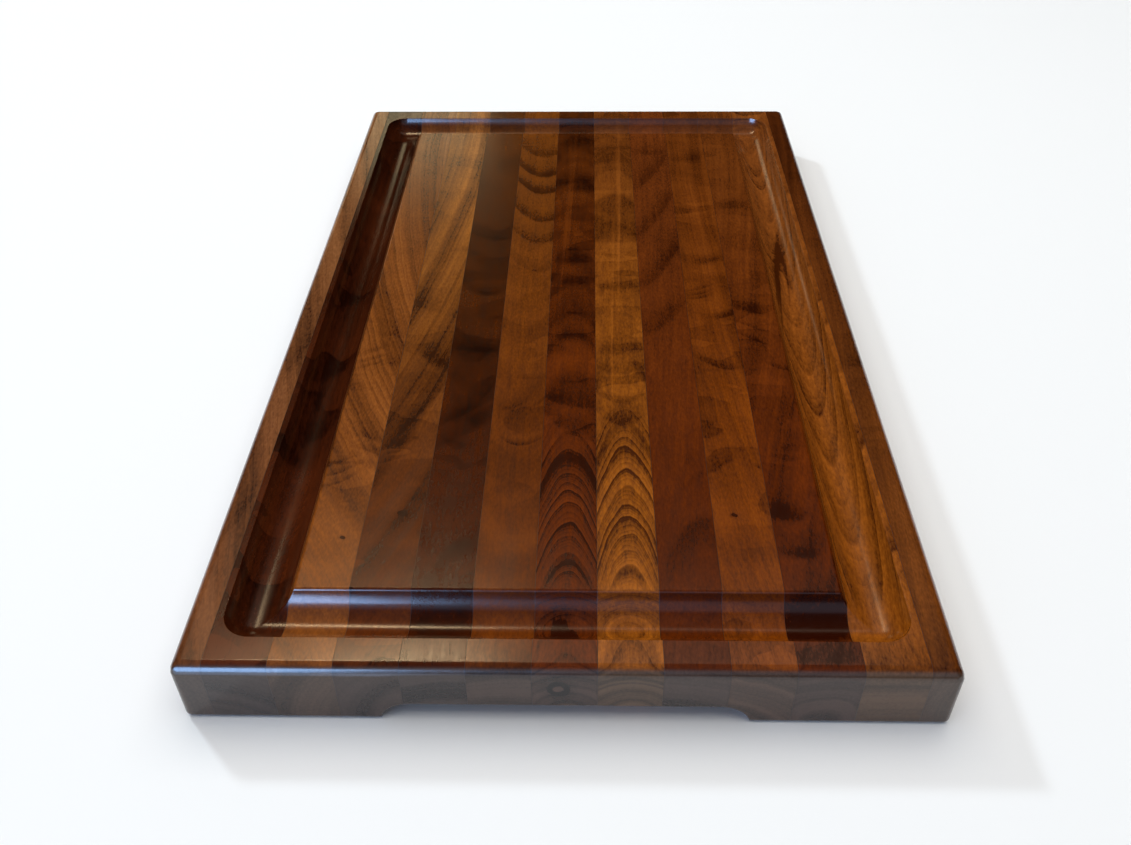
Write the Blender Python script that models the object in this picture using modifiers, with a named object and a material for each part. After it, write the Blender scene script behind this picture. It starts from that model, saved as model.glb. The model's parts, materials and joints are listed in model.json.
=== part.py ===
"""A carving board: thirteen walnut strips glued edge to edge, with a coved juice groove routed round
the top and a finger grip routed into the underside at each end.

Metres, +Z up. The board lies along Y and rests on its flat underside, with the origin at the middle of
that face. The whole blank is milled to shape first, and every strip and glue line is then the stretch
of that blank between its own two joint planes, so that all of them meet face to face."""

import math

import bmesh
import bpy
from mathutils import Vector

INCH = 0.0254

# The blank
LENGTH = 20 * INCH
WIDTH = 12 * INCH
THICKNESS = 1.25 * INCH
TOP_ROUNDOVER = 3 / 16 * INCH
CORNER_ROUNDOVER = 1 / 8 * INCH
BOTTOM_ROUNDOVER = 3 / 32 * INCH
ROUNDOVER_SEGMENTS = 4

# The strips: eleven of full width, and a half strip along each long edge
STRIP_WIDTH = 1 * INCH
FULL_STRIPS = 11
GLUE_LINE = 0.0002

# The round-nose bit that cuts the groove and both finger grips
BIT_RADIUS = 1 / 2 * INCH
CUT_DEPTH = 3 / 8 * INCH
BIT_STEPS = 10
CLEARANCE = 0.006

# Where the bit runs: its path lies this far in from the edges
GROOVE_INSET = 1.1 * INCH
GRIP_INSET = 0.6 * INCH
GRIP_HALF_SPAN = 2.4 * INCH

# Tones of the oiled walnut, as linear base colours
DARK_HEART = (0.030, 0.009, 0.004)
RED_HEART = (0.088, 0.023, 0.006)
MID_HEART = (0.120, 0.034, 0.007)
GOLDEN_HEART = (0.155, 0.048, 0.012)
LIGHT_HEART = (0.165, 0.056, 0.018)
GLUE_BROWN = (0.020, 0.008, 0.004)
STRIP_TONES = (
    LIGHT_HEART,
    DARK_HEART,
    GOLDEN_HEART,
    MID_HEART,
    DARK_HEART,
    MID_HEART,
    DARK_HEART,
    GOLDEN_HEART,
    RED_HEART,
    MID_HEART,
    RED_HEART,
    LIGHT_HEART,
    RED_HEART,
)
OILED_ROUGHNESS = 0.38
GLUE_ROUGHNESS = 0.5
SHARP_ANGLE = math.radians(30)


def clear_scene():
    for obj in list(bpy.data.objects):
        bpy.data.objects.remove(obj, do_unlink=True)


def new_collection(name):
    collection = bpy.data.collections.new(name)
    bpy.context.scene.collection.children.link(collection)
    return collection


def new_object(name, bm, collection):
    """An object of what the bmesh holds, which is freed."""
    mesh = bpy.data.meshes.new(name)
    bm.to_mesh(mesh)
    bm.free()
    obj = bpy.data.objects.new(name, mesh)
    collection.objects.link(obj)
    return obj


def as_cutter(obj):
    obj.hide_render = True
    obj.display_type = "WIRE"
    return obj


def box_between(low, high):
    """A bmesh of the box with these lowest and highest corners, on exactly those numbers, so that
    two boxes that share a plane share it to the last bit."""
    bm = bmesh.new()
    bmesh.ops.create_cube(bm, size=2)
    for vert in bm.verts:
        vert.co = [(low[axis], high[axis])[vert.co[axis] > 0] for axis in range(3)]
    return bm


def wood(name, colour, roughness):
    material = bpy.data.materials.new(name)
    material.use_nodes = True
    shader = material.node_tree.nodes["Principled BSDF"]
    shader.inputs["Base Color"].default_value = (*colour, 1)
    shader.inputs["Roughness"].default_value = roughness
    shader.inputs["Metallic"].default_value = 0
    material.diffuse_color = (*colour, 1)
    return material


def edge_roundover(edge):
    """The radius on one of the plain blank's edges, by the way it faces."""
    middle = (edge.verts[0].co + edge.verts[1].co) / 2
    if middle.z > 0.9 * THICKNESS:
        return TOP_ROUNDOVER
    if middle.z < 0.1 * THICKNESS:
        return BOTTOM_ROUNDOVER
    return CORNER_ROUNDOVER


def plain_blank(cutters):
    """The glued-up slab, planed and with its edges rounded over."""
    bm = box_between((-WIDTH / 2, -LENGTH / 2, 0), (WIDTH / 2, LENGTH / 2, THICKNESS))
    weight = bm.edges.layers.float.new("bevel_weight_edge")
    for edge in bm.edges:
        edge[weight] = edge_roundover(edge) / TOP_ROUNDOVER
    blank = as_cutter(new_object("blank", bm, cutters))
    bevel = blank.modifiers.new("roundovers", "BEVEL")
    bevel.limit_method = "WEIGHT"
    bevel.width = TOP_ROUNDOVER
    bevel.segments = ROUNDOVER_SEGMENTS
    return blank


def bit_section():
    """Half of the bit's section as (distance from its axis, height above the face that it cuts): from
    the tip up the round nose, up the straight shank, and back to the axis."""
    nose_centre = BIT_RADIUS - CUT_DEPTH
    turn = [math.pi / 2 * step / BIT_STEPS for step in range(BIT_STEPS + 1)]
    nose = [(BIT_RADIUS * math.sin(a), nose_centre - BIT_RADIUS * math.cos(a)) for a in turn]
    shank_top = nose_centre + CLEARANCE
    return nose + [(BIT_RADIUS, shank_top), (0, shank_top)]


def chain_of(bm, points):
    verts = [bm.verts.new(point) for point in points]
    return [bm.edges.new(pair) for pair in zip(verts, verts[1:])]


def extrude_to(bm, edges, place):
    """Extrudes the edges and puts each new vertex where place says. It returns the new edges."""
    made = bmesh.ops.extrude_edge_only(bm, edges=edges)["geom"]
    for vert in made:
        if isinstance(vert, bmesh.types.BMVert):
            vert.co = place(vert.co)
    return [edge for edge in made if isinstance(edge, bmesh.types.BMEdge)]


def groove_cutter(cutters):
    """What the bit sweeps round the juice groove. A quarter is made and mirrored: outside the path the
    bit turns about each corner, and inside it the two runs meet in a mitre."""
    path_x = WIDTH / 2 - GROOVE_INSET
    path_y = LENGTH / 2 - GROOVE_INSET
    section = bit_section()
    bm = bmesh.new()

    outer = chain_of(bm, [(path_x + r, 0, THICKNESS + h) for r, h in section])
    outer = extrude_to(bm, outer, lambda co: Vector((co.x, path_y, co.z)))
    turned = bmesh.ops.spin(
        bm,
        geom=outer + list({vert for edge in outer for vert in edge.verts}),
        cent=(path_x, path_y, 0),
        axis=(0, 0, 1),
        angle=math.pi / 2,
        steps=BIT_STEPS,
    )["geom_last"]
    outer = [edge for edge in turned if isinstance(edge, bmesh.types.BMEdge)]
    extrude_to(bm, outer, lambda co: Vector((0, co.y, co.z)))

    inner = chain_of(bm, [(path_x - r, 0, THICKNESS + h) for r, h in section])
    inner = extrude_to(bm, inner, lambda co: Vector((co.x, path_y - (path_x - co.x), co.z)))
    extrude_to(bm, inner, lambda co: Vector((0, co.y, co.z)))

    bmesh.ops.remove_doubles(bm, verts=bm.verts, dist=1e-6)
    bmesh.ops.recalc_face_normals(bm, faces=bm.faces)
    cutter = as_cutter(new_object("groove_sweep", bm, cutters))
    mirror = cutter.modifiers.new("both halves", "MIRROR")
    mirror.use_axis = (True, True, False)
    mirror.merge_threshold = 1e-5
    return cutter


def grip_cutter(name, end, cutters):
    """What the bit sweeps out of the underside for one finger grip. It is open at the board's end, and
    every corner that the bit turns has the bit's own radius, so it is a box rounded by that radius."""
    back = LENGTH / 2 - GRIP_INSET - BIT_RADIUS
    front = LENGTH / 2 + BIT_RADIUS + CLEARANCE
    reach = GRIP_HALF_SPAN + BIT_RADIUS
    bottom = CUT_DEPTH - 2 * BIT_RADIUS - CLEARANCE
    low_y, high_y = sorted((end * back, end * front))
    bm = box_between((-reach, low_y, bottom), (reach, high_y, CUT_DEPTH))
    cutter = as_cutter(new_object(name, bm, cutters))
    bevel = cutter.modifiers.new("bit radius", "BEVEL")
    bevel.limit_method = "NONE"
    bevel.width = BIT_RADIUS
    bevel.segments = BIT_STEPS
    return cutter


def mill(blank, cutter):
    cut = blank.modifiers.new(cutter.name, "BOOLEAN")
    cut.operation = "DIFFERENCE"
    cut.object = cutter


def slice_of(blank, name, low_x, high_x, material, collection):
    """The stretch of the milled blank between two joint planes, as an object of its own."""
    low = (low_x, -LENGTH / 2 - CLEARANCE, -CLEARANCE)
    high = (high_x, LENGTH / 2 + CLEARANCE, THICKNESS + CLEARANCE)
    piece = new_object(name, box_between(low, high), collection)
    piece.data.materials.append(material)
    cut = piece.modifiers.new("shaped by milling", "BOOLEAN")
    cut.operation = "INTERSECT"
    cut.object = blank
    return piece


def finish(pieces):
    """Gives each piece the mesh that its Boolean makes, with smooth coves and crisp edges."""
    graph = bpy.context.evaluated_depsgraph_get()
    shaped = [bpy.data.meshes.new_from_object(piece.evaluated_get(graph)) for piece in pieces]
    for piece, mesh in zip(pieces, shaped):
        piece.modifiers.clear()
        mesh.name = piece.name
        mesh.shade_smooth()
        mesh.set_sharp_from_angle(angle=SHARP_ANGLE)
        piece.data = mesh


def build():
    clear_scene()
    board = new_collection("carving_board")
    cutters = new_collection("cutters")
    cutters.hide_render = True

    blank = plain_blank(cutters)
    mill(blank, groove_cutter(cutters))
    mill(blank, grip_cutter("near_grip_sweep", -1, cutters))
    mill(blank, grip_cutter("far_grip_sweep", 1, cutters))

    joints = [(k - FULL_STRIPS / 2) * STRIP_WIDTH for k in range(FULL_STRIPS + 1)]
    lows = [-WIDTH / 2 - CLEARANCE] + [x + GLUE_LINE / 2 for x in joints]
    highs = [x - GLUE_LINE / 2 for x in joints] + [WIDTH / 2 + CLEARANCE]
    pieces = []
    for number, (low, high, tone) in enumerate(zip(lows, highs, STRIP_TONES), 1):
        name = f"walnut_strip_{number:02d}"
        pieces.append(slice_of(blank, name, low, high, wood(name, tone, OILED_ROUGHNESS), board))

    glue = wood("wood_glue", GLUE_BROWN, GLUE_ROUGHNESS)
    for number, (low, high) in enumerate(zip(highs, lows[1:]), 1):
        pieces.append(slice_of(blank, f"glue_line_{number:02d}", low, high, glue, board))
    finish(pieces)


build()
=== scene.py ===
"""A thick walnut carving board: thirteen strips glued edge to edge, a coved juice groove round the top and
a finger grip under each end, sanded and oiled. It lies on a pale floor in soft light."""

import json
import math

import bmesh
import bpy
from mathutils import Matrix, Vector

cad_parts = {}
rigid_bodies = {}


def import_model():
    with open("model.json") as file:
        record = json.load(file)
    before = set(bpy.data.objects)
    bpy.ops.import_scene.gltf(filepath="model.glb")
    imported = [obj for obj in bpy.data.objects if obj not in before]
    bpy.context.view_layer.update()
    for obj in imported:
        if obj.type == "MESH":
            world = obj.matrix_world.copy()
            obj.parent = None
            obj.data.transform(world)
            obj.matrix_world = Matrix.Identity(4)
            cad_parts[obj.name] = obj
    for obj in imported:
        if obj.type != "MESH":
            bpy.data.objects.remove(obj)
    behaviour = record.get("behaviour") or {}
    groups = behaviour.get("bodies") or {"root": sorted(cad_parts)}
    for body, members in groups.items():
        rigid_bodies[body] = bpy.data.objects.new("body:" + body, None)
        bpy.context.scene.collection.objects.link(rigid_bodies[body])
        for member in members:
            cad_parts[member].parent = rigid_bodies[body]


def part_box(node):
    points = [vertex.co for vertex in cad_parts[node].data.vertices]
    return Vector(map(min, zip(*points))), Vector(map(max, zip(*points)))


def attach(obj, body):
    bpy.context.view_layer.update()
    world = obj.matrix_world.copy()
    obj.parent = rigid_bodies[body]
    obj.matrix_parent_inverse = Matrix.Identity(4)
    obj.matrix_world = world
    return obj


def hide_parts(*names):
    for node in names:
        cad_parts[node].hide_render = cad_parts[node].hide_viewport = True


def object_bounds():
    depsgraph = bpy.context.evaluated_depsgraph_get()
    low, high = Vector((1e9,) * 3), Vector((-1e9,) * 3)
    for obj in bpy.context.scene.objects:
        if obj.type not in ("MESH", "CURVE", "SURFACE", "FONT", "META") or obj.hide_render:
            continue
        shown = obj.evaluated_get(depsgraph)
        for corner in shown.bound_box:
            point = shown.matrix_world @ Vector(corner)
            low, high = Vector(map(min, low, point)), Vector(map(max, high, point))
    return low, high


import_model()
cad_low, cad_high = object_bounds()


# ---- The camera ------------------------------------------------------------------------------------
# It stands over the near end of the board, a little more than arm's length away, and looks down the
# strips. The pieces that follow are all in its view.

camera = bpy.data.objects.new("camera", bpy.data.cameras.new("camera"))
camera.data.sensor_width = 36
camera.data.lens = 33.58
camera.location = (0.0076, -0.4978, 0.3621)
camera.rotation_euler = [math.radians(turn) for turn in (49.75, 0.5, 1.0)]
bpy.context.scene.collection.objects.link(camera)
bpy.context.scene.camera = camera


# ---- The milled blank ------------------------------------------------------------------------------
# The glued-up slab before it is thought of as strips: planed, its edges rounded over with a router,
# and the juice groove and both finger grips cut with one round-nose bit. Every edge that a hand
# meets is eased with sandpaper.

LENGTH = cad_high.y - cad_low.y
WIDTH = cad_high.x - cad_low.x
THICKNESS = cad_high.z
TOP_ROUNDOVER = 0.00476
CORNER_ROUNDOVER = 0.00318
BOTTOM_ROUNDOVER = 0.00238
ROUNDOVER_SEGMENTS = 10

BIT_RADIUS = 0.0127
CUT_DEPTH = 0.009525
BIT_STEPS = 28
GROOVE_INSET = 0.02794
GRIP_INSET = 0.01524
GRIP_HALF_SPAN = 0.06096
PANEL_EASED = 0.0016
RIM_EASED = 0.0004
GRIP_EASED = 0.0007
MITRE_RADIUS = 0.0009
MOUTH_RADIUS = 0.0012
EASE_STEPS = 6
CLEARANCE = 0.004
EASED_SHARE = 0.93  # of the way to level, so that the cut still meets the face at an angle
SEAM = 1e-7

workshop = bpy.data.collections.new("workshop")


def piece_of(name, bm, collection=None):
    """An object of what the bmesh holds, which is freed."""
    mesh = bpy.data.meshes.new(name)
    bm.to_mesh(mesh)
    bm.free()
    obj = bpy.data.objects.new(name, mesh)
    (collection or bpy.context.scene.collection).objects.link(obj)
    return obj


def block(low, high):
    """A bmesh of the box with these lowest and highest corners."""
    bm = bmesh.new()
    bmesh.ops.create_cube(bm, size=2)
    for vert in bm.verts:
        vert.co = [(low[axis], high[axis])[vert.co[axis] > 0] for axis in range(3)]
    return bm


def planed_slab():
    bm = block(cad_low, cad_high)
    weight = bm.edges.layers.float.new("bevel_weight_edge")
    for edge in bm.edges:
        height = (edge.verts[0].co.z + edge.verts[1].co.z) / 2
        radius = CORNER_ROUNDOVER
        if height > 0.9 * THICKNESS:
            radius = TOP_ROUNDOVER
        if height < 0.1 * THICKNESS:
            radius = BOTTOM_ROUNDOVER
        edge[weight] = radius / TOP_ROUNDOVER
    slab = piece_of("slab", bm, workshop)
    rounded = slab.modifiers.new("roundovers", "BEVEL")
    rounded.limit_method = "WEIGHT"
    rounded.width = TOP_ROUNDOVER
    rounded.segments = ROUNDOVER_SEGMENTS
    return slab


def bit_section(eased):
    """Half of what the bit and the sandpaper take away, from the tip up the cove, over the eased edge and
    back to the axis above. Each point is (distance from the bit's axis, height above the cut face,
    angle of the surface there)."""
    nose_centre = BIT_RADIUS - CUT_DEPTH
    # The easing rolls between the cove and the flat face, and touches the cove at its steepest angle.
    steepest = math.acos((nose_centre + eased) / (BIT_RADIUS + eased))
    ease_x = (BIT_RADIUS + eased) * math.sin(steepest)
    points = []
    for step in range(BIT_STEPS + 1):
        a = steepest * step / BIT_STEPS
        points.append((BIT_RADIUS * math.sin(a), nose_centre - BIT_RADIUS * math.cos(a), a))
    for step in range(1, EASE_STEPS + 1):
        a = steepest * (1 - EASED_SHARE * step / EASE_STEPS)
        points.append((ease_x - eased * math.sin(a), eased * (math.cos(a) - 1), a))
    last_r, last_h, last_a = points[-1]
    rim = ease_x + CLEARANCE
    points.append((rim, last_h + math.tan(last_a) * (rim - last_r), last_a))
    return points + [(rim, 2 * CLEARANCE, 0), (0, 2 * CLEARANCE, 0)]


def sweep(bm, section, stations):
    """Extrudes the section from station to station. A station says where each point of it goes. It
    returns the first station's vertices."""
    verts = [bm.verts.new(stations[0](*point)) for point in section]
    first = verts
    edges = [bm.edges.new(pair) for pair in zip(verts, verts[1:])]
    for station in stations[1:]:
        made = bmesh.ops.extrude_edge_only(bm, edges=edges)["geom"]
        verts = [item for item in made if isinstance(item, bmesh.types.BMVert)]
        edges = [item for item in made if isinstance(item, bmesh.types.BMEdge)]
        for vert, point in zip(verts, section):
            vert.co = station(*point)
    return first


def quarter_turn(steps):
    return [math.pi / 2 * step / steps for step in range(steps + 1)]


def groove_waste():
    """What comes out of the juice groove. Outside its path the bit turns about each corner, and inside it
    the two runs meet in a mitre that the sandpaper softens."""
    path_x = WIDTH / 2 - GROOVE_INSET
    path_y = LENGTH / 2 - GROOVE_INSET

    def about_corner(turn):
        return lambda r, h, a: (path_x + r * math.cos(turn), path_y + r * math.sin(turn), THICKNESS + h)

    def round_mitre(turn):
        def place(r, h, a):
            soft = MITRE_RADIUS * min(1, r / (5 * MITRE_RADIUS))
            x = path_x - r - soft * (1 - math.cos(turn))
            y = path_y - r - soft * (1 - math.sin(turn))
            return (x, y, THICKNESS + h)

        return place

    bm = bmesh.new()
    outside = [lambda r, h, a: (path_x + r, 0, THICKNESS + h)]
    outside += [about_corner(turn) for turn in quarter_turn(BIT_STEPS)]
    outside += [lambda r, h, a: (0, path_y + r, THICKNESS + h)]
    inside = [lambda r, h, a: (path_x - r, 0, THICKNESS + h)]
    inside += [round_mitre(turn) for turn in quarter_turn(EASE_STEPS)]
    inside += [lambda r, h, a: (0, path_y - r, THICKNESS + h)]
    sweep(bm, bit_section(RIM_EASED), outside)
    sweep(bm, bit_section(PANEL_EASED), inside)
    return closed_waste("groove_waste", bm)


def grip_waste():
    """What comes out of the underside for the finger grips: a cove along the back and round both back
    corners, a level roof, and eased edges at the mouth in the board's end."""
    path_x = GRIP_HALF_SPAN
    path_y = LENGTH / 2 - GRIP_INSET
    middle_low, middle_high = ("middle", -CUT_DEPTH, 0), ("middle", 2 * CLEARANCE, 0)
    section = [middle_low, *bit_section(GRIP_EASED), middle_high]

    def mouth(inward, swell):
        """The section at this depth in from the board's end, swollen by the easing there."""
        y = LENGTH / 2 - inward

        def place(r, h, a):
            grown = 0 if h > 0 else swell
            if r == "middle":
                return (0, y, grown - h)
            return (path_x + r + grown * math.sin(a), y, grown * math.cos(a) - h)

        return place

    def about_corner(turn):
        def place(r, h, a):
            if r == "middle":
                return (0, path_y, -h)
            return (path_x + r * math.cos(turn), path_y - r * math.sin(turn), -h)

        return place

    def back(r, h, a):
        return (0, path_y - (0 if r == "middle" else r), -h)

    steepest = math.radians(80)
    rounding = [steepest * (1 - step / EASE_STEPS) for step in range(EASE_STEPS + 1)]
    proud = 0.0003
    swollen = MOUTH_RADIUS * (1 - math.cos(steepest)) + proud * math.tan(steepest)
    stations = [mouth(-CLEARANCE, swollen), mouth(-proud, swollen)]
    for a in rounding:
        stations.append(mouth(MOUTH_RADIUS * (1 - math.sin(a)), MOUTH_RADIUS * (1 - math.cos(a))))
    stations += [about_corner(turn) for turn in quarter_turn(BIT_STEPS)]
    stations.append(back)
    bm = bmesh.new()
    bm.faces.new(sweep(bm, section, stations))
    return closed_waste("grip_waste", bm)


def closed_waste(name, bm):
    """A quarter of the waste, merged along its seams and mirrored to both halves each way."""
    bmesh.ops.remove_doubles(bm, verts=bm.verts, dist=SEAM)
    bmesh.ops.recalc_face_normals(bm, faces=bm.faces)
    waste = piece_of(name, bm, workshop)
    mirror = waste.modifiers.new("both halves", "MIRROR")
    mirror.use_axis = (True, True, False)
    mirror.merge_threshold = 10 * SEAM
    return waste


def milled_slab():
    slab = planed_slab()
    for waste in (groove_waste(), grip_waste()):
        cut = slab.modifiers.new(waste.name, "BOOLEAN")
        cut.operation = "DIFFERENCE"
        cut.object = waste
    bpy.context.view_layer.update()
    graph = bpy.context.evaluated_depsgraph_get()
    return bpy.data.meshes.new_from_object(slab.evaluated_get(graph))


def sawn_between(slab, low_x, high_x):
    """A bmesh of the stretch of the slab between two joint planes, closed at both."""
    bm = bmesh.new()
    bm.from_mesh(slab)
    for x, side in ((low_x, -1), (high_x, 1)):
        if abs(x) < WIDTH / 2:
            geom = [*bm.verts, *bm.edges, *bm.faces]
            joint = {"plane_co": (x, 0, 0), "plane_no": (side, 0, 0), "clear_outer": True}
            bmesh.ops.bisect_plane(bm, geom=geom, dist=SEAM, **joint)
            bmesh.ops.holes_fill(bm, edges=[edge for edge in bm.edges if edge.is_boundary])
    bmesh.ops.recalc_face_normals(bm, faces=bm.faces)
    return bm


def finish_edges(piece):
    """Smooth coves and roundovers, with the flat faces kept flat."""
    crisp = math.radians(35)
    piece.data.shade_smooth()
    piece.data.set_sharp_from_angle(angle=crisp)
    flats = piece.modifiers.new("flats stay flat", "WEIGHTED_NORMAL")
    flats.keep_sharp = True


bpy.context.scene.collection.children.link(workshop)
slab = milled_slab()
for helper in list(workshop.objects):
    bpy.data.objects.remove(helper)
bpy.data.collections.remove(workshop)


# ---- The walnut strips -----------------------------------------------------------------------------
# Eleven strips an inch wide and a half strip along each edge, ripped from different boards of black
# walnut and turned on edge at random, so each has its own tone, ring slope and figure. They are
# glued edge to edge, sanded through the grits and oiled to a satin shine.


def add_node(tree, kind, **settings):
    node = tree.nodes.new(kind)
    for name, value in settings.items():
        setattr(node, name, value)
    return node


def feed(tree, socket, value):
    """Links a socket to this input, or sets a plain value on it."""
    if isinstance(value, bpy.types.NodeSocket):
        tree.links.new(value, socket)
    else:
        socket.default_value = value


def maths(tree, operation, *values):
    node = add_node(tree, "ShaderNodeMath", operation=operation)
    for socket, value in zip(node.inputs, values):
        feed(tree, socket, value)
    return node.outputs[0]


def between(tree, value, low, high, to_low=0, to_high=1, curve="SMOOTHSTEP"):
    """Value carried from the range low..high to to_low..to_high, and held there past either end."""
    node = add_node(tree, "ShaderNodeMapRange", interpolation_type=curve)
    for socket, number in zip(node.inputs, (value, low, high, to_low, to_high)):
        feed(tree, socket, number)
    return node.outputs[0]


def stretched(tree, place, scale):
    node = add_node(tree, "ShaderNodeVectorMath", operation="MULTIPLY")
    feed(tree, node.inputs[0], place)
    feed(tree, node.inputs[1], scale)
    return node.outputs[0]


def mottle(tree, place, scale, seed, detail=2.0, output="Fac"):
    """Noise about 0.5, drawn out along the grain by a scale that is small there."""
    node = add_node(tree, "ShaderNodeTexNoise", noise_dimensions="4D")
    feed(tree, node.inputs["Vector"], stretched(tree, place, scale))
    feed(tree, node.inputs["W"], seed)
    node.inputs["Scale"].default_value = 1
    node.inputs["Detail"].default_value = detail
    return node.outputs[output]


def along(tree, value, seed, scale, detail=1.0):
    """Noise about 0.5 that depends on one number only."""
    node = add_node(tree, "ShaderNodeTexNoise", noise_dimensions="1D")
    feed(tree, node.inputs["W"], maths(tree, "MULTIPLY_ADD", value, scale, seed))
    node.inputs["Scale"].default_value = 1
    node.inputs["Detail"].default_value = detail
    return node.outputs["Fac"]


def blend(tree, factor, first, second, kind="MIX"):
    node = add_node(tree, "ShaderNodeMix", data_type="RGBA", blend_type=kind)
    feed(tree, node.inputs[0], factor)
    feed(tree, node.inputs[6], first)
    feed(tree, node.inputs[7], second)
    return node.outputs[2]


def new_group(name, inputs, outputs):
    """An empty node group with these sockets, as {name: default value} and {name: socket type}."""
    group = bpy.data.node_groups.new(name, "ShaderNodeTree")
    for label, value in inputs.items():
        kind = "NodeSocketFloat"
        if isinstance(value, tuple):
            kind = "NodeSocketColor" if len(value) == 4 else "NodeSocketVector"
        socket = group.interface.new_socket(label, in_out="INPUT", socket_type=kind)
        socket.default_value = value
    for label, kind in outputs.items():
        group.interface.new_socket(label, in_out="OUTPUT", socket_type=kind)
    return group, group.nodes.new("NodeGroupInput").outputs, group.nodes.new("NodeGroupOutput").inputs


FIGURE = {
    "Seed": 0.0,
    "Near": (0.10, 0.03, 0.008, 1.0),
    "Far": (0.10, 0.03, 0.008, 1.0),
    "Pith": (0.0, 0.0, -0.06),
    "Lean": (0.0, 0.0, 0.0),
    "Ring Width": 0.0025,
    "Waver": 0.002,
    "Turn": 0.0,
    "Near Rings": 0.35,
    "Far Rings": 0.35,
    "Bands": 0.5,
    "Near Curl": 0.3,
    "Far Curl": 0.3,
    "Curl Spacing": 0.02,
    "Curl Sag": 0.0,
}


def wander_group():
    """Where a point would lie if the grain ran straight: its place, shifted by a slow and a fine waver."""
    inputs = {"Place": (0.0, 0.0, 0.0), "Seed": 0.0, "Waver": 0.002}
    tree, given, result = new_group("wandering grain", inputs, dict.fromkeys("XYZ", "NodeSocketFloat"))
    shifts = []
    for scale, detail, share in (((26, 7, 26), 1.0, 4.0), ((120, 40, 120), 2.0, 1.2)):
        noise = mottle(tree, given["Place"], scale, given["Seed"], detail, "Color")
        centred = add_node(tree, "ShaderNodeVectorMath", operation="SUBTRACT")
        feed(tree, centred.inputs[0], noise)
        centred.inputs[1].default_value = (0.5, 0.5, 0.5)
        sized = add_node(tree, "ShaderNodeVectorMath", operation="SCALE")
        feed(tree, sized.inputs[0], centred.outputs[0])
        feed(tree, sized.inputs["Scale"], maths(tree, "MULTIPLY", given["Waver"], share))
        shifts.append(sized.outputs[0])
    moved = given["Place"]
    for shift in shifts:
        both = add_node(tree, "ShaderNodeVectorMath", operation="ADD")
        feed(tree, both.inputs[0], moved)
        feed(tree, both.inputs[1], shift)
        moved = both.outputs[0]
    split = add_node(tree, "ShaderNodeSeparateXYZ")
    feed(tree, split.inputs[0], moved)
    for axis, value in zip("XYZ", split.outputs):
        feed(tree, result[axis], value)
    return tree


LIGHTER_WOOD = (1.7, 1.85, 2.0, 1)
DARKER_WOOD = (0.22, 0.17, 0.16, 1)
PORE_BROWN = (0.006, 0.0025, 0.001, 1)
# The next two tints turn the sawn ends grey-blue: a painted reflection of the white floor and the blue
# window, laid over the darkening of the oil.
END_OIL_AND_BLUE_SHEEN = (1.5, 2.3, 4.0, 1)
END_BROWN = (0.070, 0.055, 0.050, 1)
END_RINGS = (0.008, 0.006, 0.006, 1)


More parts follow.
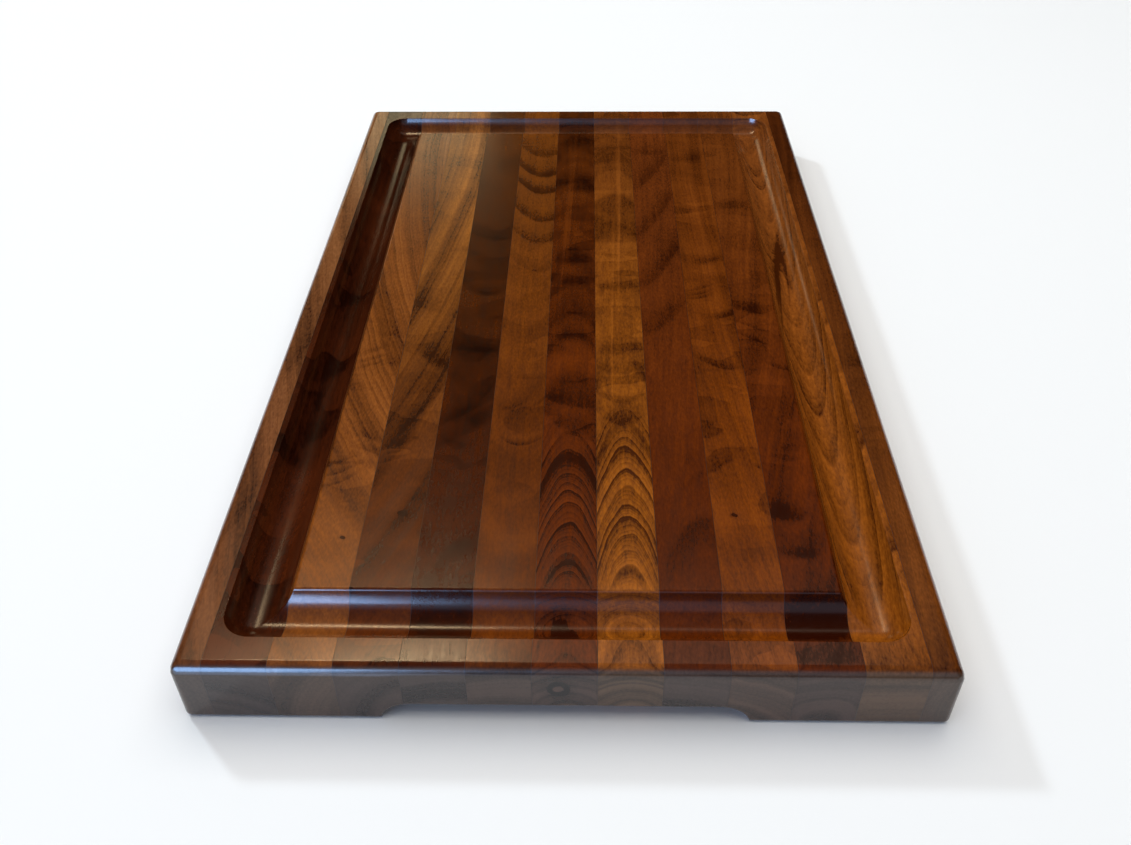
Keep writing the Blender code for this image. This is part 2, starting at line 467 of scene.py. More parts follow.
def walnut_group():
    """Black walnut, from where a point lies in the log. Rings stand about a pith line that may lean, bend
    and dip along the strip. Curl is the rippled figure across the grain. Everything is in three
    dimensions, so coves and end grain cut through it truly."""
    inputs = {"Place": (0.0, 0.0, 0.0), "Wandering X": 0.0, "Wandering Y": 0.0, "Wandering Z": 0.0,
              **FIGURE, "Knot Pull": 0.0, "Knot Dark": 0.0, "Shade": 0.0}
    outputs = {"Colour": "NodeSocketColor", "Roughness": "NodeSocketFloat", "Height": "NodeSocketFloat"}
    tree, given, result = new_group("black walnut", inputs, outputs)
    place, seed = given["Place"], given["Seed"]
    true = add_node(tree, "ShaderNodeSeparateXYZ")
    feed(tree, true.inputs[0], place)
    x, y, z = (given[f"Wandering {axis}"] for axis in "XYZ")
    turn = maths(tree, "SUBTRACT", y, given["Turn"])
    far = between(tree, turn, -0.03, 0.03)

    pith = add_node(tree, "ShaderNodeSeparateXYZ")
    feed(tree, pith.inputs[0], given["Pith"])
    lean = add_node(tree, "ShaderNodeSeparateXYZ")
    feed(tree, lean.inputs[0], given["Lean"])
    y_squared = maths(tree, "MULTIPLY", y, y)
    pith_x = maths(tree, "MULTIPLY_ADD", lean.outputs[0], y, pith.outputs[0])
    pith_x = maths(tree, "MULTIPLY_ADD", lean.outputs[1], y_squared, pith_x)
    pith_z = maths(tree, "MULTIPLY_ADD", lean.outputs[2], y, pith.outputs[2])
    across = maths(tree, "SUBTRACT", x, pith_x)
    up = maths(tree, "SUBTRACT", z, pith_z)
    squares = maths(tree, "MULTIPLY_ADD", across, across, maths(tree, "MULTIPLY", up, up))
    radius = maths(tree, "ADD", maths(tree, "SQRT", squares), given["Knot Pull"])

    # Each year darkens slowly and ends in a thin dark line. Good and poor years make broader bands.
    years = maths(tree, "DIVIDE", radius, given["Ring Width"])
    growth = maths(tree, "SUBTRACT", along(tree, years, seed, 0.45), 0.5)
    uneven = maths(tree, "MULTIPLY_ADD", growth, 1.8, years)
    season = maths(tree, "FRACT", uneven)
    winter = between(tree, season, 0.9, 1.0, 1.0, 0.0)
    late = maths(tree, "MULTIPLY", maths(tree, "POWER", season, 2.0), winter)
    bold = between(tree, along(tree, maths(tree, "FLOOR", uneven), seed, 0.77, 0.0), 0.35, 0.65, 0.35, 1.0)
    fine = maths(tree, "POWER", maths(tree, "FRACT", maths(tree, "MULTIPLY", uneven, 4.0)), 2.0)
    late = maths(tree, "MULTIPLY_ADD", fine, 0.28, maths(tree, "MULTIPLY", late, bold))
    # Past the panel's near end the rings are fainter.
    late = maths(tree, "MULTIPLY", late, between(tree, y, -0.214, -0.204, 0.3, 1.0))
    band = between(tree, along(tree, years, seed, 0.21, 2.0), 0.35, 0.65, -0.6, 0.6, "LINEAR")
    rings = between(tree, far, 0, 1, given["Near Rings"], given["Far Rings"])

    # Curl: ripples across the grain, and folds that darken slowly and end in a sharp edge.
    sag = maths(tree, "MULTIPLY", maths(tree, "MULTIPLY", x, x), given["Curl Sag"])
    ripple_y = maths(tree, "DIVIDE", maths(tree, "SUBTRACT", y, sag), given["Curl Spacing"])
    ripple_place = add_node(tree, "ShaderNodeCombineXYZ")
    feed(tree, ripple_place.inputs[0], maths(tree, "MULTIPLY", across, 24.0))
    feed(tree, ripple_place.inputs[1], ripple_y)
    feed(tree, ripple_place.inputs[2], maths(tree, "MULTIPLY", z, 30.0))
    ripple = mottle(tree, ripple_place.outputs[0], (1, 1, 1), seed, 2.0)
    drift = maths(tree, "MULTIPLY", ripple_y, 0.5)
    fold = maths(tree, "FRACT", maths(tree, "MULTIPLY_ADD", ripple, 5.0, drift))
    fold = maths(tree, "MULTIPLY", maths(tree, "POWER", fold, 2.0), between(tree, fold, 0.93, 1.0, 1.0, 0.0))
    cluster = between(tree, mottle(tree, ripple_place.outputs[0], (0.8, 0.4, 0.8), 3.7, 1.0), 0.42, 0.62)
    strength = between(tree, far, 0, 1, given["Near Curl"], given["Far Curl"])
    curl = between(tree, ripple, 0.36, 0.64, 0.6, -0.6, "LINEAR")
    curl = maths(tree, "MULTIPLY", maths(tree, "MULTIPLY_ADD", fold, cluster, curl), strength)

    # Fibres run the way the grain leans. Specks and pores are finer still.
    run = add_node(tree, "ShaderNodeCombineXYZ")
    for socket, value in zip(run.inputs, (across, y, up)):
        feed(tree, socket, value)
    fibre = maths(tree, "SUBTRACT", mottle(tree, run.outputs[0], (420, 9, 420), seed, 4.0), 0.5)
    speck = maths(tree, "SUBTRACT", mottle(tree, place, (1100, 420, 1100), seed, 3.0), 0.5)
    pore = between(tree, mottle(tree, run.outputs[0], (2000, 110, 2000), seed, 1.0), 0.60, 0.72)

    shade = maths(tree, "ADD", given["Shade"], given["Knot Dark"])
    shade = maths(tree, "MULTIPLY_ADD", band, given["Bands"], shade)
    shade = maths(tree, "MULTIPLY_ADD", late, rings, shade)
    shade = maths(tree, "ADD", shade, curl)
    shade = maths(tree, "MULTIPLY_ADD", fibre, 1.2, shade)
    shade = maths(tree, "MULTIPLY_ADD", speck, 1.5, shade)

    # The darker the wood, the redder. Where Far is lighter than Near, part of the change
    # along the strip is a painted sheen of the room on the far end. The sawn ends drink more
    # oil and turn dark; their grey-blue cast is a painted reflection of the white floor and blue window.
    tone_here = blend(tree, between(tree, true.outputs[1], -0.25, 0.25), given["Near"], given["Far"])
    light_side = blend(tree, 1.0, tone_here, LIGHTER_WOOD, "MULTIPLY")
    dark_side = blend(tree, 1.0, tone_here, DARKER_WOOD, "MULTIPLY")
    lighter = blend(tree, between(tree, shade, -0.8, 0.0, 0, 1, "LINEAR"), light_side, tone_here)
    colour = blend(tree, between(tree, shade, 0.0, 1.0, 0, 1, "LINEAR"), lighter, dark_side)
    colour = blend(tree, maths(tree, "MULTIPLY", pore, 0.3), colour, PORE_BROWN)
    end_soak_and_sheen_begins, end_soak_and_sheen_full = LENGTH / 2 - 0.003, LENGTH / 2 - 0.001
    end = between(tree, maths(tree, "ABSOLUTE", true.outputs[1]), end_soak_and_sheen_begins, end_soak_and_sheen_full)
    # The blue-heavy tint and the grey blend are painted reflection; the ring darkening after them is the end
    # grain's own.
    soaked_and_sheened = blend(tree, 1.0, tone_here, END_OIL_AND_BLUE_SHEEN, "MULTIPLY")
    soaked_and_sheened = blend(tree, 0.8, soaked_and_sheened, END_BROWN)
    drunk = maths(tree, "MULTIPLY_ADD", late, 0.8, given["Knot Dark"])
    drunk = maths(tree, "MULTIPLY_ADD", speck, 0.9, maths(tree, "MULTIPLY_ADD", band, 0.6, drunk))
    soaked_and_sheened = blend(tree, between(tree, drunk, -0.3, 0.8, 0, 0.92, "LINEAR"), soaked_and_sheened, END_RINGS)
    colour = blend(tree, end, colour, soaked_and_sheened)
    feed(tree, result["Colour"], colour)
    satin = maths(tree, "MULTIPLY_ADD", speck, 0.15, maths(tree, "MULTIPLY_ADD", fibre, 0.15, 0.21))
    feed(tree, result["Roughness"], satin)
    relief = maths(tree, "MULTIPLY_ADD", fibre, 0.00003, maths(tree, "MULTIPLY", pore, -0.000008))
    feed(tree, result["Height"], relief)
    return tree


def crease_and_sheen_group():
    """A dark fold in curly grain: sharp on one side and fading on the other. With a negative Dark it is
    a lighter mark, which some strips use as a painted highlight. It lies across the strip at Y, tilted
    by Slope and bent by Bend, and is added to the shade it is given."""
    inputs = {"Wandering X": 0.0, "Wandering Y": 0.0, "X": 0.0, "Y": 0.0, "Reach": 0.01, "Slope": 0.0,
              "Bend": 0.0, "Fade": 0.005, "Dark": 0.4, "Shade": 0.0}
    tree, given, result = new_group("crease_or_sheen", inputs, {"Shade": "NodeSocketFloat"})
    aside = maths(tree, "SUBTRACT", given["Wandering X"], given["X"])
    line = maths(tree, "MULTIPLY_ADD", aside, given["Slope"], given["Y"])
    line = maths(tree, "MULTIPLY_ADD", maths(tree, "MULTIPLY", aside, aside), given["Bend"], line)
    off = maths(tree, "DIVIDE", maths(tree, "SUBTRACT", given["Wandering Y"], line), given["Fade"])
    off = maths(tree, "MAXIMUM", off, maths(tree, "MULTIPLY", off, -4.0))
    along_it = maths(tree, "DIVIDE", aside, given["Reach"])
    gone = maths(tree, "MULTIPLY_ADD", off, off, maths(tree, "POWER", maths(tree, "ABSOLUTE", along_it), 3.0))
    depth = maths(tree, "EXPONENT", maths(tree, "MULTIPLY", gone, -1.0))
    feed(tree, result["Shade"], maths(tree, "MULTIPLY_ADD", depth, given["Dark"], given["Shade"]))
    return tree


def knot_group():
    """A branch cut through: a heart with a dark rim and a stain about it, and the grain pushed aside."""
    inputs = {"Place": (0.0, 0.0, 0.0), "Size": 0.004, "Pull": 0.004, "Heart": 1.1}
    outputs = {"Pull": "NodeSocketFloat", "Dark": "NodeSocketFloat"}
    tree, given, result = new_group("knot", inputs, outputs)
    rough = add_node(tree, "ShaderNodeVectorMath", operation="SUBTRACT")
    feed(tree, rough.inputs[0], mottle(tree, given["Place"], (300, 300, 300), 3.0, 2.0, "Color"))
    rough.inputs[1].default_value = (0.5, 0.5, 0.5)
    ragged = add_node(tree, "ShaderNodeVectorMath", operation="MULTIPLY_ADD")
    feed(tree, ragged.inputs[0], rough.outputs[0])
    ragged.inputs[1].default_value = (0.0025, 0.0025, 0.0025)
    feed(tree, ragged.inputs[2], given["Place"])
    length = add_node(tree, "ShaderNodeVectorMath", operation="LENGTH")
    feed(tree, length.inputs[0], ragged.outputs[0])
    away = maths(tree, "DIVIDE", length.outputs["Value"], given["Size"])
    core = between(tree, away, 0.35, 0.75, given["Heart"], 1.1)
    rim = maths(tree, "MULTIPLY", between(tree, away, 0.7, 0.95), between(tree, away, 1.0, 1.3, 1.0, 0.0))
    stain = between(tree, away, 1.0, 2.6, 0.35, 0.0)
    inside = maths(tree, "MULTIPLY", core, between(tree, away, 0.95, 1.05, 1.0, 0.0))
    feed(tree, result["Dark"], maths(tree, "ADD", maths(tree, "ADD", inside, rim), stain))
    fade = maths(tree, "EXPONENT", maths(tree, "MULTIPLY", maths(tree, "MULTIPLY", away, away), -0.22))
    feed(tree, result["Pull"], maths(tree, "MULTIPLY", fade, given["Pull"]))
    return tree


black_walnut = walnut_group()
wandering = wander_group()
crease_and_sheen_tree = crease_and_sheen_group()
knot_wood = knot_group()
MM = 0.001


def walnut(name, centre_x, figure, creases_and_sheens=(), knots=()):
    """Oiled walnut for one strip. A fold, or a painted highlight drawn the same way, is (x, y, reach,
    slope, bend, fade, depth): millimetres from the strip's middle, except that slope is a ratio and bend is
    the millimetres it bends at 10 mm from its centre. A knot is (centre, stretch, size, pull, heart), where
    stretch draws it out along each axis, pull is how far it pushes the rings aside, and heart is how dark
    its middle is."""
    material = bpy.data.materials.new(name)
    material.use_nodes = True
    tree = material.node_tree
    shader = tree.nodes["Principled BSDF"]
    where = add_node(tree, "ShaderNodeTexCoord").outputs["Object"]
    centred = add_node(tree, "ShaderNodeMapping")
    feed(tree, centred.inputs["Vector"], where)
    centred.inputs["Location"].default_value = (-centre_x, 0, 0)
    recipe = {**FIGURE, **figure}
    wander = add_node(tree, "ShaderNodeGroup", node_tree=wandering)
    feed(tree, wander.inputs["Place"], centred.outputs[0])
    wander.inputs["Seed"].default_value = recipe["Seed"]
    wander.inputs["Waver"].default_value = recipe["Waver"]
    shade, pull, dark = 0.0, 0.0, 0.0
    for x, y, reach, slope, bend, fade, depth in creases_and_sheens:
        crease_or_sheen = add_node(tree, "ShaderNodeGroup", node_tree=crease_and_sheen_tree)
        for axis in "XY":
            feed(tree, crease_or_sheen.inputs[f"Wandering {axis}"], wander.outputs[axis])
        sizes = {"X": x * MM, "Y": y * MM, "Reach": reach * MM, "Slope": slope, "Bend": bend / (100 * MM),
                 "Fade": fade * MM, "Dark": depth, "Shade": shade}
        for label, value in sizes.items():
            feed(tree, crease_or_sheen.inputs[label], value)
        shade = crease_or_sheen.outputs[0]
    for centre, stretch, size, push, heart in knots:
        at_knot = add_node(tree, "ShaderNodeMapping", vector_type="TEXTURE")
        feed(tree, at_knot.inputs["Vector"], centred.outputs[0])
        at_knot.inputs["Location"].default_value = [MM * value for value in centre]
        at_knot.inputs["Scale"].default_value = stretch
        knot = add_node(tree, "ShaderNodeGroup", node_tree=knot_wood)
        feed(tree, knot.inputs["Place"], at_knot.outputs[0])
        knot.inputs["Size"].default_value = size * MM
        knot.inputs["Pull"].default_value = push * MM
        knot.inputs["Heart"].default_value = heart
        pull = maths(tree, "ADD", knot.outputs["Pull"], pull)
        dark = maths(tree, "ADD", knot.outputs["Dark"], dark)
    wood = add_node(tree, "ShaderNodeGroup", node_tree=black_walnut)
    feed(tree, wood.inputs["Place"], centred.outputs[0])
    for axis in "XYZ":
        feed(tree, wood.inputs[f"Wandering {axis}"], wander.outputs[axis])
    for label, value in recipe.items():
        wood.inputs[label].default_value = value
    feed(tree, wood.inputs["Knot Pull"], pull)
    feed(tree, wood.inputs["Knot Dark"], dark)
    feed(tree, wood.inputs["Shade"], shade)
    feed(tree, shader.inputs["Base Color"], wood.outputs["Colour"])
    feed(tree, shader.inputs["Roughness"], wood.outputs["Roughness"])
    bump = add_node(tree, "ShaderNodeBump")
    bump.inputs["Distance"].default_value = 1
    bump.inputs["Strength"].default_value = 0.18
    feed(tree, bump.inputs["Height"], wood.outputs["Height"])
    feed(tree, shader.inputs["Normal"], bump.outputs[0])
    return material


def tone(red, green, blue):
    """A colour given as it looks on screen, from 0 to 255."""
    return (*((value / 255) ** 2.2 for value in (red, green, blue)), 1.0)


# From the left edge to the right. Near and Far are the wood's colours at either end of the strip, and
# where Far is lighter, part of it is a painted sheen of the room's light on the far end. Pith is where
# the rings' centre line lies from the strip's own middle, and Lean how far that line goes sideways,
# bends and dips for each metre of the strip.
BOARDS = (
    # a half strip of light wood, its grain running off to the right
    {"Near": tone(105, 62, 36), "Far": tone(118, 74, 42), "Pith": (-0.12, 0, 0.01),
     "Lean": (-0.20, 0.1, 0), "Ring Width": 0.0030, "Bands": 0.5, "Near Rings": 0.35, "Far Rings": 0.3,
     "Near Curl": 0.1, "Far Curl": 0.1},
    # nearly black heartwood under the left-hand groove
    {"Near": tone(66, 30, 14), "Far": tone(58, 27, 13), "Pith": (-0.03, 0, -0.05),
     "Lean": (0.02, 0, 0.02), "Bands": 0.5, "Near Curl": 0.7, "Far Curl": 0.5, "Curl Spacing": 0.03,
     "Curl Sag": 30},
    # golden, running off to the right, and creased where it turns
    {"Near": tone(120, 66, 27), "Far": tone(114, 64, 27), "Pith": (-0.09, 0, 0.0),
     "Lean": (-0.29, 0.72, 0), "Ring Width": 0.0034, "Waver": 0.0015, "Turn": -0.13, "Near Rings": 0.1,
     "Far Rings": 0.6, "Bands": 0.55, "Near Curl": 0.3, "Far Curl": 0.15},
    # its mirror image, running off to the left
    {"Near": tone(78, 36, 12), "Far": tone(134, 80, 32), "Pith": (0.10, 0, 0.0), "Lean": (0.2, -0.45, 0),
     "Ring Width": 0.0034, "Waver": 0.0015, "Turn": -0.10, "Near Rings": 0.1, "Far Rings": 0.5,
     "Bands": 0.5, "Near Curl": 0.55, "Far Curl": 0.25},
    # dark, with faint ripples
    {"Near": tone(60, 25, 7), "Far": tone(76, 40, 14), "Pith": (0.01, 0, -0.04), "Lean": (0.0, 0, 0.05),
     "Near Rings": 0.15, "Far Rings": 0.1, "Bands": 0.3, "Near Curl": 0.5, "Far Curl": 0.4,
     "Curl Spacing": 0.028, "Curl Sag": 25},
    # lighter, rippled in hanging curves
    {"Near": tone(90, 43, 11), "Far": tone(112, 61, 21), "Pith": (0.004, 0, -0.05),
     "Lean": (0.0, 0, -0.06), "Near Rings": 0.15, "Far Rings": 0.1, "Bands": 0.2, "Near Curl": 0.4,
     "Far Curl": 0.2, "Curl Spacing": 0.022, "Curl Sag": 50},
    # dark, arched at the near end, with a knot that shows in the groove and in the end
    {"Near": tone(92, 40, 8), "Far": tone(74, 36, 12), "Pith": (0.001, 0, -0.02),
     "Lean": (0.0, 0, -0.095), "Ring Width": 0.0008, "Waver": 0.0005, "Turn": -0.125, "Near Rings": 1.7,
     "Far Rings": 0.1, "Bands": 0.5, "Near Curl": 0.1, "Far Curl": 0.5, "Curl Spacing": 0.024},
    # golden, arched, the brightest of them
    {"Near": tone(134, 73, 20), "Far": tone(98, 52, 20), "Pith": (0.001, 0, -0.02),
     "Lean": (0.0, 0, -0.085), "Ring Width": 0.0009, "Waver": 0.0006, "Turn": -0.11, "Near Rings": 1.5,
     "Far Rings": 0.15, "Bands": 0.5, "Near Curl": 0.1, "Far Curl": 0.4, "Curl Spacing": 0.017},
    # reddish and calm, with long swooshes
    {"Near": tone(82, 35, 7), "Far": tone(104, 52, 21), "Pith": (0.012, 0, -0.04),
     "Lean": (0.05, -0.2, 0.06), "Ring Width": 0.0035, "Bands": 0.3, "Near Rings": 0.15, "Far Rings": 0.1,
     "Near Curl": 0.2, "Far Curl": 0.15, "Curl Spacing": 0.03},
    # mid brown with creases across it
    {"Near": tone(110, 53, 11), "Far": tone(98, 50, 18), "Pith": (-0.05, 0, -0.01),
     "Lean": (-0.08, 0.2, 0.03), "Bands": 0.35, "Near Rings": 0.2, "Far Rings": 0.2, "Near Curl": 0.4,
     "Far Curl": 0.35, "Curl Spacing": 0.018},
    # mid brown, turning dark at the near end
    {"Near": tone(90, 38, 7), "Far": tone(100, 52, 20), "Pith": (0.06, 0, 0.0), "Lean": (0.16, -0.3, 0),
     "Bands": 0.35, "Near Rings": 0.25, "Far Rings": 0.2, "Near Curl": 0.35, "Far Curl": 0.25,
     "Curl Spacing": 0.02},
    # golden, sawn flat, so that the groove cuts long pointed arches through its level rings
    {"Near": tone(134, 72, 21), "Far": tone(124, 68, 29), "Pith": (0.004, 0, -0.12),
     "Lean": (0.0, 0, 0.095), "Ring Width": 0.0037, "Waver": 0.0010, "Bands": 0.15, "Near Rings": 0.95,
     "Far Rings": 0.8, "Near Curl": 0.05, "Far Curl": 0.1},
    # a half strip of reddish wood
    {"Near": tone(104, 56, 22), "Far": tone(76, 38, 16), "Pith": (0.10, 0, 0.0), "Lean": (0.06, 0, 0),
     "Bands": 0.3, "Near Rings": 0.2, "Far Rings": 0.15, "Near Curl": 0.2, "Far Curl": 0.2},
)

# The folds that stand out in each strip, by its number from the left, and a few painted highlights drawn
# the same way. A fold with a negative fade is sharp on its far side, and one with a negative depth is
# lighter than the wood. The lengthwise light streaks on strips 7 and 8 are a painted highlight, a lamp's
# gleam drawn out by the rippled finish, and the light band across strip 2's near rim is a painted
# highlight of the lamps. The bands at -249 and -250 mm on strips 1, 12 and 13 darken the near rim.
CREASES_AND_SHEENS = {
    1: ((0, -249, 30, 0, 0, 12, 0.3), (0, -175, 8, 4, 0, 20, 0.3), (2, -60, 8, 4, 0, 30, 0.3)),
    # strip 2's first mark, across the near rim, is a painted highlight of the lamps
    2: ((0, -249, 30, 0, 0, 12, -0.9), (0, -110, 12, 1.2, 0, 16, 0.35), (0, -60, 12, 1.2, 0, 14, 0.35),
        (0, 10, 12, 1.0, 0, 20, 0.35)),
    3: ((-3, -150, 7, 0.6, 2, 3, 0.40), (-3, -143, 7, 0.6, 2, 3, 0.40), (-4, -136, 7, 0.6, 2, 3, 0.35),
        (6, -128, 6, -0.5, -2, 4, 0.45), (6, -119, 6, -0.5, -2, 5, 0.35), (-2, -62, 7, 0.5, 2, 3, 0.35),
        (-2, -57, 7, 0.5, 2, 3, 0.35), (-2, -50, 7, 0.5, 2, 4, 0.40), (10, -60, 6, 0, 2, 6, 0.35)),
    4: ((-7, -135, 6, 0.4, 2, 3, 0.45), (-7, -130, 6, 0.4, 2, 3, 0.45), (-5, -124, 7, 0.4, 3, 6, 0.45),
        (5, -60, 10, -0.9, 6, 14, 0.55), (-5, -9, 8, -0.6, 4, 12, 0.45), (2, -100, 10, 2.0, 0, 10, 0.5),
        (9, -168, 8, 1.0, 0, 12, 0.4), (9, 52, 6, 0, 1, 5, 0.25)),
    5: ((4, -190, 11, 0.8, -8, -10, 0.55), (0, -115, 14, 1.0, 0, 16, 0.55),
        (0, -98, 14, 1.0, 0, 10, 0.45), (0, -48, 14, 0, 0, 8, 0.55), (0, 6, 14, -0.4, 5, 9, 0.5),
        (0, 66, 14, -0.4, 5, 9, 0.35)),
    6: ((5, 88, 30, 0, 5.4, 9, 0.75), (5, 124, 30, 0, 5.4, 9, 0.85), (5, 148, 30, 0, 5.4, 9, 0.85),
        (5, 178, 30, 0, 5.4, 12, 0.60), (5, 62, 30, 0, 5.4, 9, 0.45), (5, 30, 30, 0, 5.4, 9, 0.30),
        (2, -123, 10, 0, 6, 2.5, 0.60), (3, -72, 6, 0, 2, 3, 0.40), (0, -150, 10, 0, -6, -5, 0.3),
        (-3, -95, 8, 0.6, 4, 6, 0.35)),
    7: ((0, -112, 13, -0.3, 6, 9, 0.55), (0, -94, 14, -0.3, 2, 8, 0.55), (0, -75, 14, 0, 2, 8, 0.35),
        (0, -34, 14, 0, 1, 22, 0.5), (0, 17, 14, 0, 1, 12, 0.5), (0, 40, 14, 0, 1, 12, 0.55),
        (6, 90, 9, 0, 1, 14, 0.4), (6, 130, 9, 0, 1, 20, 0.4), (0, 196, 14, 0, 1, 22, 0.45),
        # strip 7's two lengthwise light streaks are a painted highlight of a lamp
        (-5, 70, 2.5, 30, 0, 50, -0.6), (-2, 110, 2.5, 30, 0, 50, -0.5)),
    8: ((0, -108, 13, 0, 6, 8, 0.40), (0, -92, 13, 0, 6, 6, 0.35), (0, -68, 13, 0, 4, 6, 0.3),
        (0, 10, 14, 0, 2, 7, 0.45), (0, 64, 14, 0, 0, 8, 0.45), (0, 129, 14, 0, 0, 6, 0.3),
        # strip 8's two lengthwise light streaks, at x 3 and -3, are a painted highlight of a lamp
        (0, 173, 14, 0, 0, 20, 0.4), (3, 95, 2.4, 40, 0, 80, -0.7), (-3, -20, 2.4, 40, 0, 50, -0.4)),
    9: ((4, -176, 12, 0.8, -6, -14, 0.5), (0, -20, 16, 1.3, 3, 16, 0.45), (0, 30, 16, 1.8, 4, 16, 0.45),
        (0, 90, 16, 2.2, 4, 18, 0.45), (0, 150, 16, 2.0, 3, 18, 0.4), (0, 182, 9, 0, 2, 12, 0.35)),
    10: ((0, -62, 12, -0.4, 3, 5, 0.55), (8, -16, 7, 0.3, 2, 5, 0.6), (-5, 3, 7, 0.4, 1, 2.5, 0.40),
         (-5, 7, 7, 0.4, 1, 2.5, 0.40), (-5, 12, 7, 0.4, 1, 3, 0.45), (3, 41, 11, 0.3, 2, 7, 0.45),
         (0, 98, 10, 0.2, 1, -4, -0.35), (0, 110, 10, 0.2, 1, -4, -0.30), (0, 172, 11, 0.2, 1, 10, 0.40),
         (-6, -138, 8, 0.8, 3, 7, 0.4)),
    11: ((-4, -192, 9, 0, 3, 12, 0.9), (-5, -170, 8, 0, 3, 12, 0.8), (0, -226, 16, 0, 0, 16, 1.3),
         (0, -246, 16, 0, 0, 12, 0.8), (6, -62, 7, -0.4, 2, 3, 0.5), (-5, -38, 7, -0.6, 2, 3, 0.45),
         (-5, -26, 7, -0.6, 2, 3, 0.45), (-5, -10, 8, -0.4, 2, 10, 0.6), (0, 104, 12, 0, 1, 8, 0.35)),
    12: ((0, -250, 30, 0, 0, 12, 0.7), (-8, 0, 3, 9, 0, 14, 0.9), (-6, 30, 4, 8, 0, 14, 1.0),
         (-2, 58, 4, 7, 0, 12, 0.9), (-4, 44, 5, 6, 0, -10, 0.8), (1, 40, 3, 12, 0, 14, 0.5)),
    13: ((0, -250, 30, 0, 0, 18, 0.5), (0, -60, 8, 0, 2, 9, 0.3), (0, 150, 14, 0, 2, 40, 0.4)),
}

# The knots, with their centres in millimetres: across from the strip's middle, along, and up.
KNOTS = {
    3: (((5, -185, 32), (1, 1, 1), 0.9, 1, 1.1),),
    4: (((3, -170, 32), (1.4, 1, 1), 1.0, 1, 1.1),),
    7: (((-2.4, -255, 21), (1, 9, 1), 3.8, 0, -0.6), ((0.6, -234, 22), (1, 1.6, 1), 4.2, 0, -0.4)),
    10: (((-3, -170, 32), (1, 1, 1), 1.0, 1, 1.1),),
    12: (((-6, 40, 26), (1, 4, 1), 2.6, 5, 1.1), ((-1, 62, 23), (1, 6, 1), 1.5, 1, 1.1)),
}

for number, figure in enumerate(BOARDS, 1):
    node = f"walnut_strip_{number:02d}"
    low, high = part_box(node)
    strip = piece_of(f"strip_{number:02d}", sawn_between(slab, low.x, high.x))
    finish_edges(strip)
    figure = {"Seed": 7.3 * number, **figure}
    marks = CREASES_AND_SHEENS.get(number, ()), KNOTS.get(number, ())
    strip.data.materials.append(walnut(f"walnut {number}", (low.x + high.x) / 2, figure, *marks))
    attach(strip, "root")
    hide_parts(node)


# ---- The glue lines --------------------------------------------------------------------------------
# A film of brown wood glue between each two strips. It is squeezed to a hair's thickness by the
# clamps, scraped and sanded flush, and darkened by the oil.

glue = bpy.data.materials.new("glue line")
glue.use_nodes = True
glue_tree = glue.node_tree
glue_shader = glue_tree.nodes["Principled BSDF"]
glue_place = add_node(glue_tree, "ShaderNodeTexCoord").outputs["Object"]
glue_mottle = mottle(glue_tree, glue_place, (200, 60, 200), 1.0)
glue_tone = blend(glue_tree, glue_mottle, tone(44, 22, 9), tone(26, 12, 6))
feed(glue_tree, glue_shader.inputs["Base Color"], glue_tone)
feed(glue_tree, glue_shader.inputs["Roughness"], between(glue_tree, glue_mottle, 0.3, 0.7, 0.35, 0.5))

for number in range(1, len(BOARDS)):
    node = f"glue_line_{number:02d}"
    low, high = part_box(node)
    line = piece_of(f"glue_{number:02d}", sawn_between(slab, low.x, high.x))
    finish_edges(line)
    line.data.materials.append(glue)
    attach(line, "root")
    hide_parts(node)


# ---- The room --------------------------------------------------------------------------------------
# A sheet of white paper to stand on, under soft overhead light with a lamp at the far left. The other
# panels are the windows, doorway and lamps of the room, and are seen only as gleams in the oiled wood.

FLOOR_GAP = 0.0003

floor_bm = bmesh.new()
bmesh.ops.create_grid(floor_bm, x_segments=1, y_segments=1, size=6)
bmesh.ops.translate(floor_bm, verts=floor_bm.verts, vec=(0, 0, -FLOOR_GAP))
floor = piece_of("floor", floor_bm)
paper = bpy.data.materials.new("paper floor")
paper.use_nodes = True
paper.node_tree.nodes["Principled BSDF"].inputs["Base Color"].default_value = (0.92, 0.92, 0.92, 1)
paper.node_tree.nodes["Principled BSDF"].inputs["Roughness"].default_value = 0.9
floor.data.materials.append(paper)


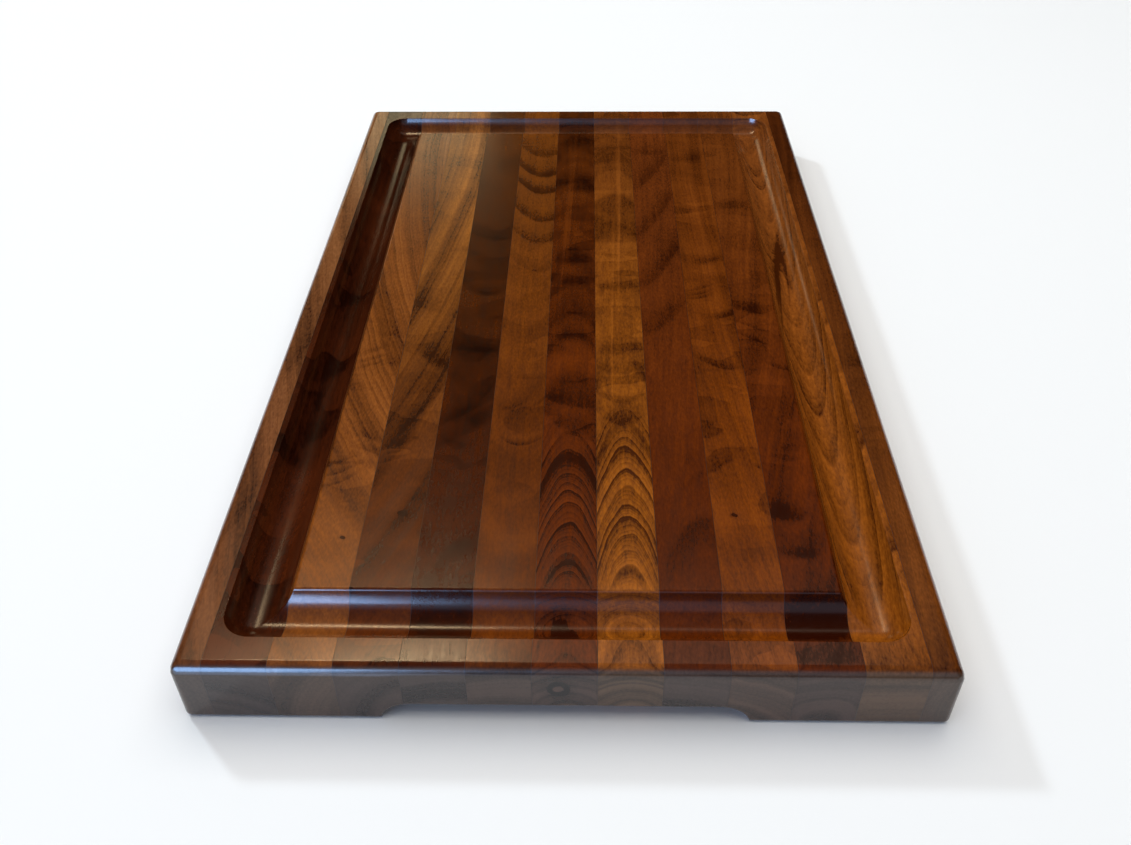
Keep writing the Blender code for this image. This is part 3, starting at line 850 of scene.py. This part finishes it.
def panel_light(name, azimuth, elevation, distance, size, colour, power, glossy=False, diffuse=False):
    """A soft panel that faces the board from this compass direction, 0 along +Y and 90 along +X."""
    a, e = math.radians(azimuth), math.radians(elevation)
    toward = Vector((math.sin(a) * math.cos(e), math.cos(a) * math.cos(e), math.sin(e)))
    lamp = bpy.data.lights.new(name, "AREA")
    lamp.shape = "RECTANGLE"
    lamp.size, lamp.size_y = size
    lamp.color = colour
    lamp.energy = power
    obj = bpy.data.objects.new(name, lamp)
    obj.location = toward * distance
    obj.rotation_euler = toward.to_track_quat("Z", "Y").to_euler()
    obj.visible_glossy = glossy
    obj.visible_diffuse = diffuse
    bpy.context.scene.collection.objects.link(obj)
    return obj


panel_light("overhead", 0, 85, 2.2, (3.0, 3.0), (1, 0.98, 0.94), 53, diffuse=True)
panel_light("key", -48, 38, 4.0, (0.36, 0.36), (0.78, 0.90, 1), 52, diffuse=True)
panel_light("window fill", -150, 30, 1.8, (1.0, 1.4), (0.4, 0.6, 1), 2.5, diffuse=True)
panel_light("window", -148, 17, 1.8, (1.1, 1.0), (0.32, 0.56, 1), 70, glossy=True)
panel_light("room", 174, 34, 2.0, (2.0, 1.2), (0.75, 0.80, 1), 3.5, glossy=True)
panel_light("lamps", -32, 61, 1.8, (0.55, 0.12), (1, 0.74, 0.42), 4.8, glossy=True)
panel_light("ceiling", -5, 63, 1.8, (1.5, 0.3), (1, 0.80, 0.60), 1.2, glossy=True)
panel_light("far left", -30, 10, 2.0, (0.3, 0.3), (1, 0.82, 0.5), 0.4, glossy=True)
panel_light("doorway", -12, 22, 2.2, (0.34, 0.18), (1, 0.85, 0.5), 0.50, glossy=True)
# Daylight lying on the paper before the board. Two overlapping patches make it fade to the right.
for right_edge, width, power in ((-0.25, 0.70, 3.6), (-0.08, 0.87, 4.5)):
    just_above, size, colour = 0.0005, (width, 0.66), (0.40, 0.62, 1)
    glare = panel_light("glare on the floor", 0, 90, just_above, size, colour, power, glossy=True)
    glare.location.xy = (right_edge - width / 2, -0.63)
    glare.rotation_euler = (math.pi, 0, 0)
    glare.visible_camera = False

world = bpy.data.worlds.new("room")
world.use_nodes = True
world.node_tree.nodes["Background"].inputs["Color"].default_value = (0.94, 0.97, 1, 1)
world.node_tree.nodes["Background"].inputs["Strength"].default_value = 0.22
world.cycles_visibility.glossy = False
bpy.context.scene.world = world
bpy.context.scene.view_settings.view_transform = "Standard"
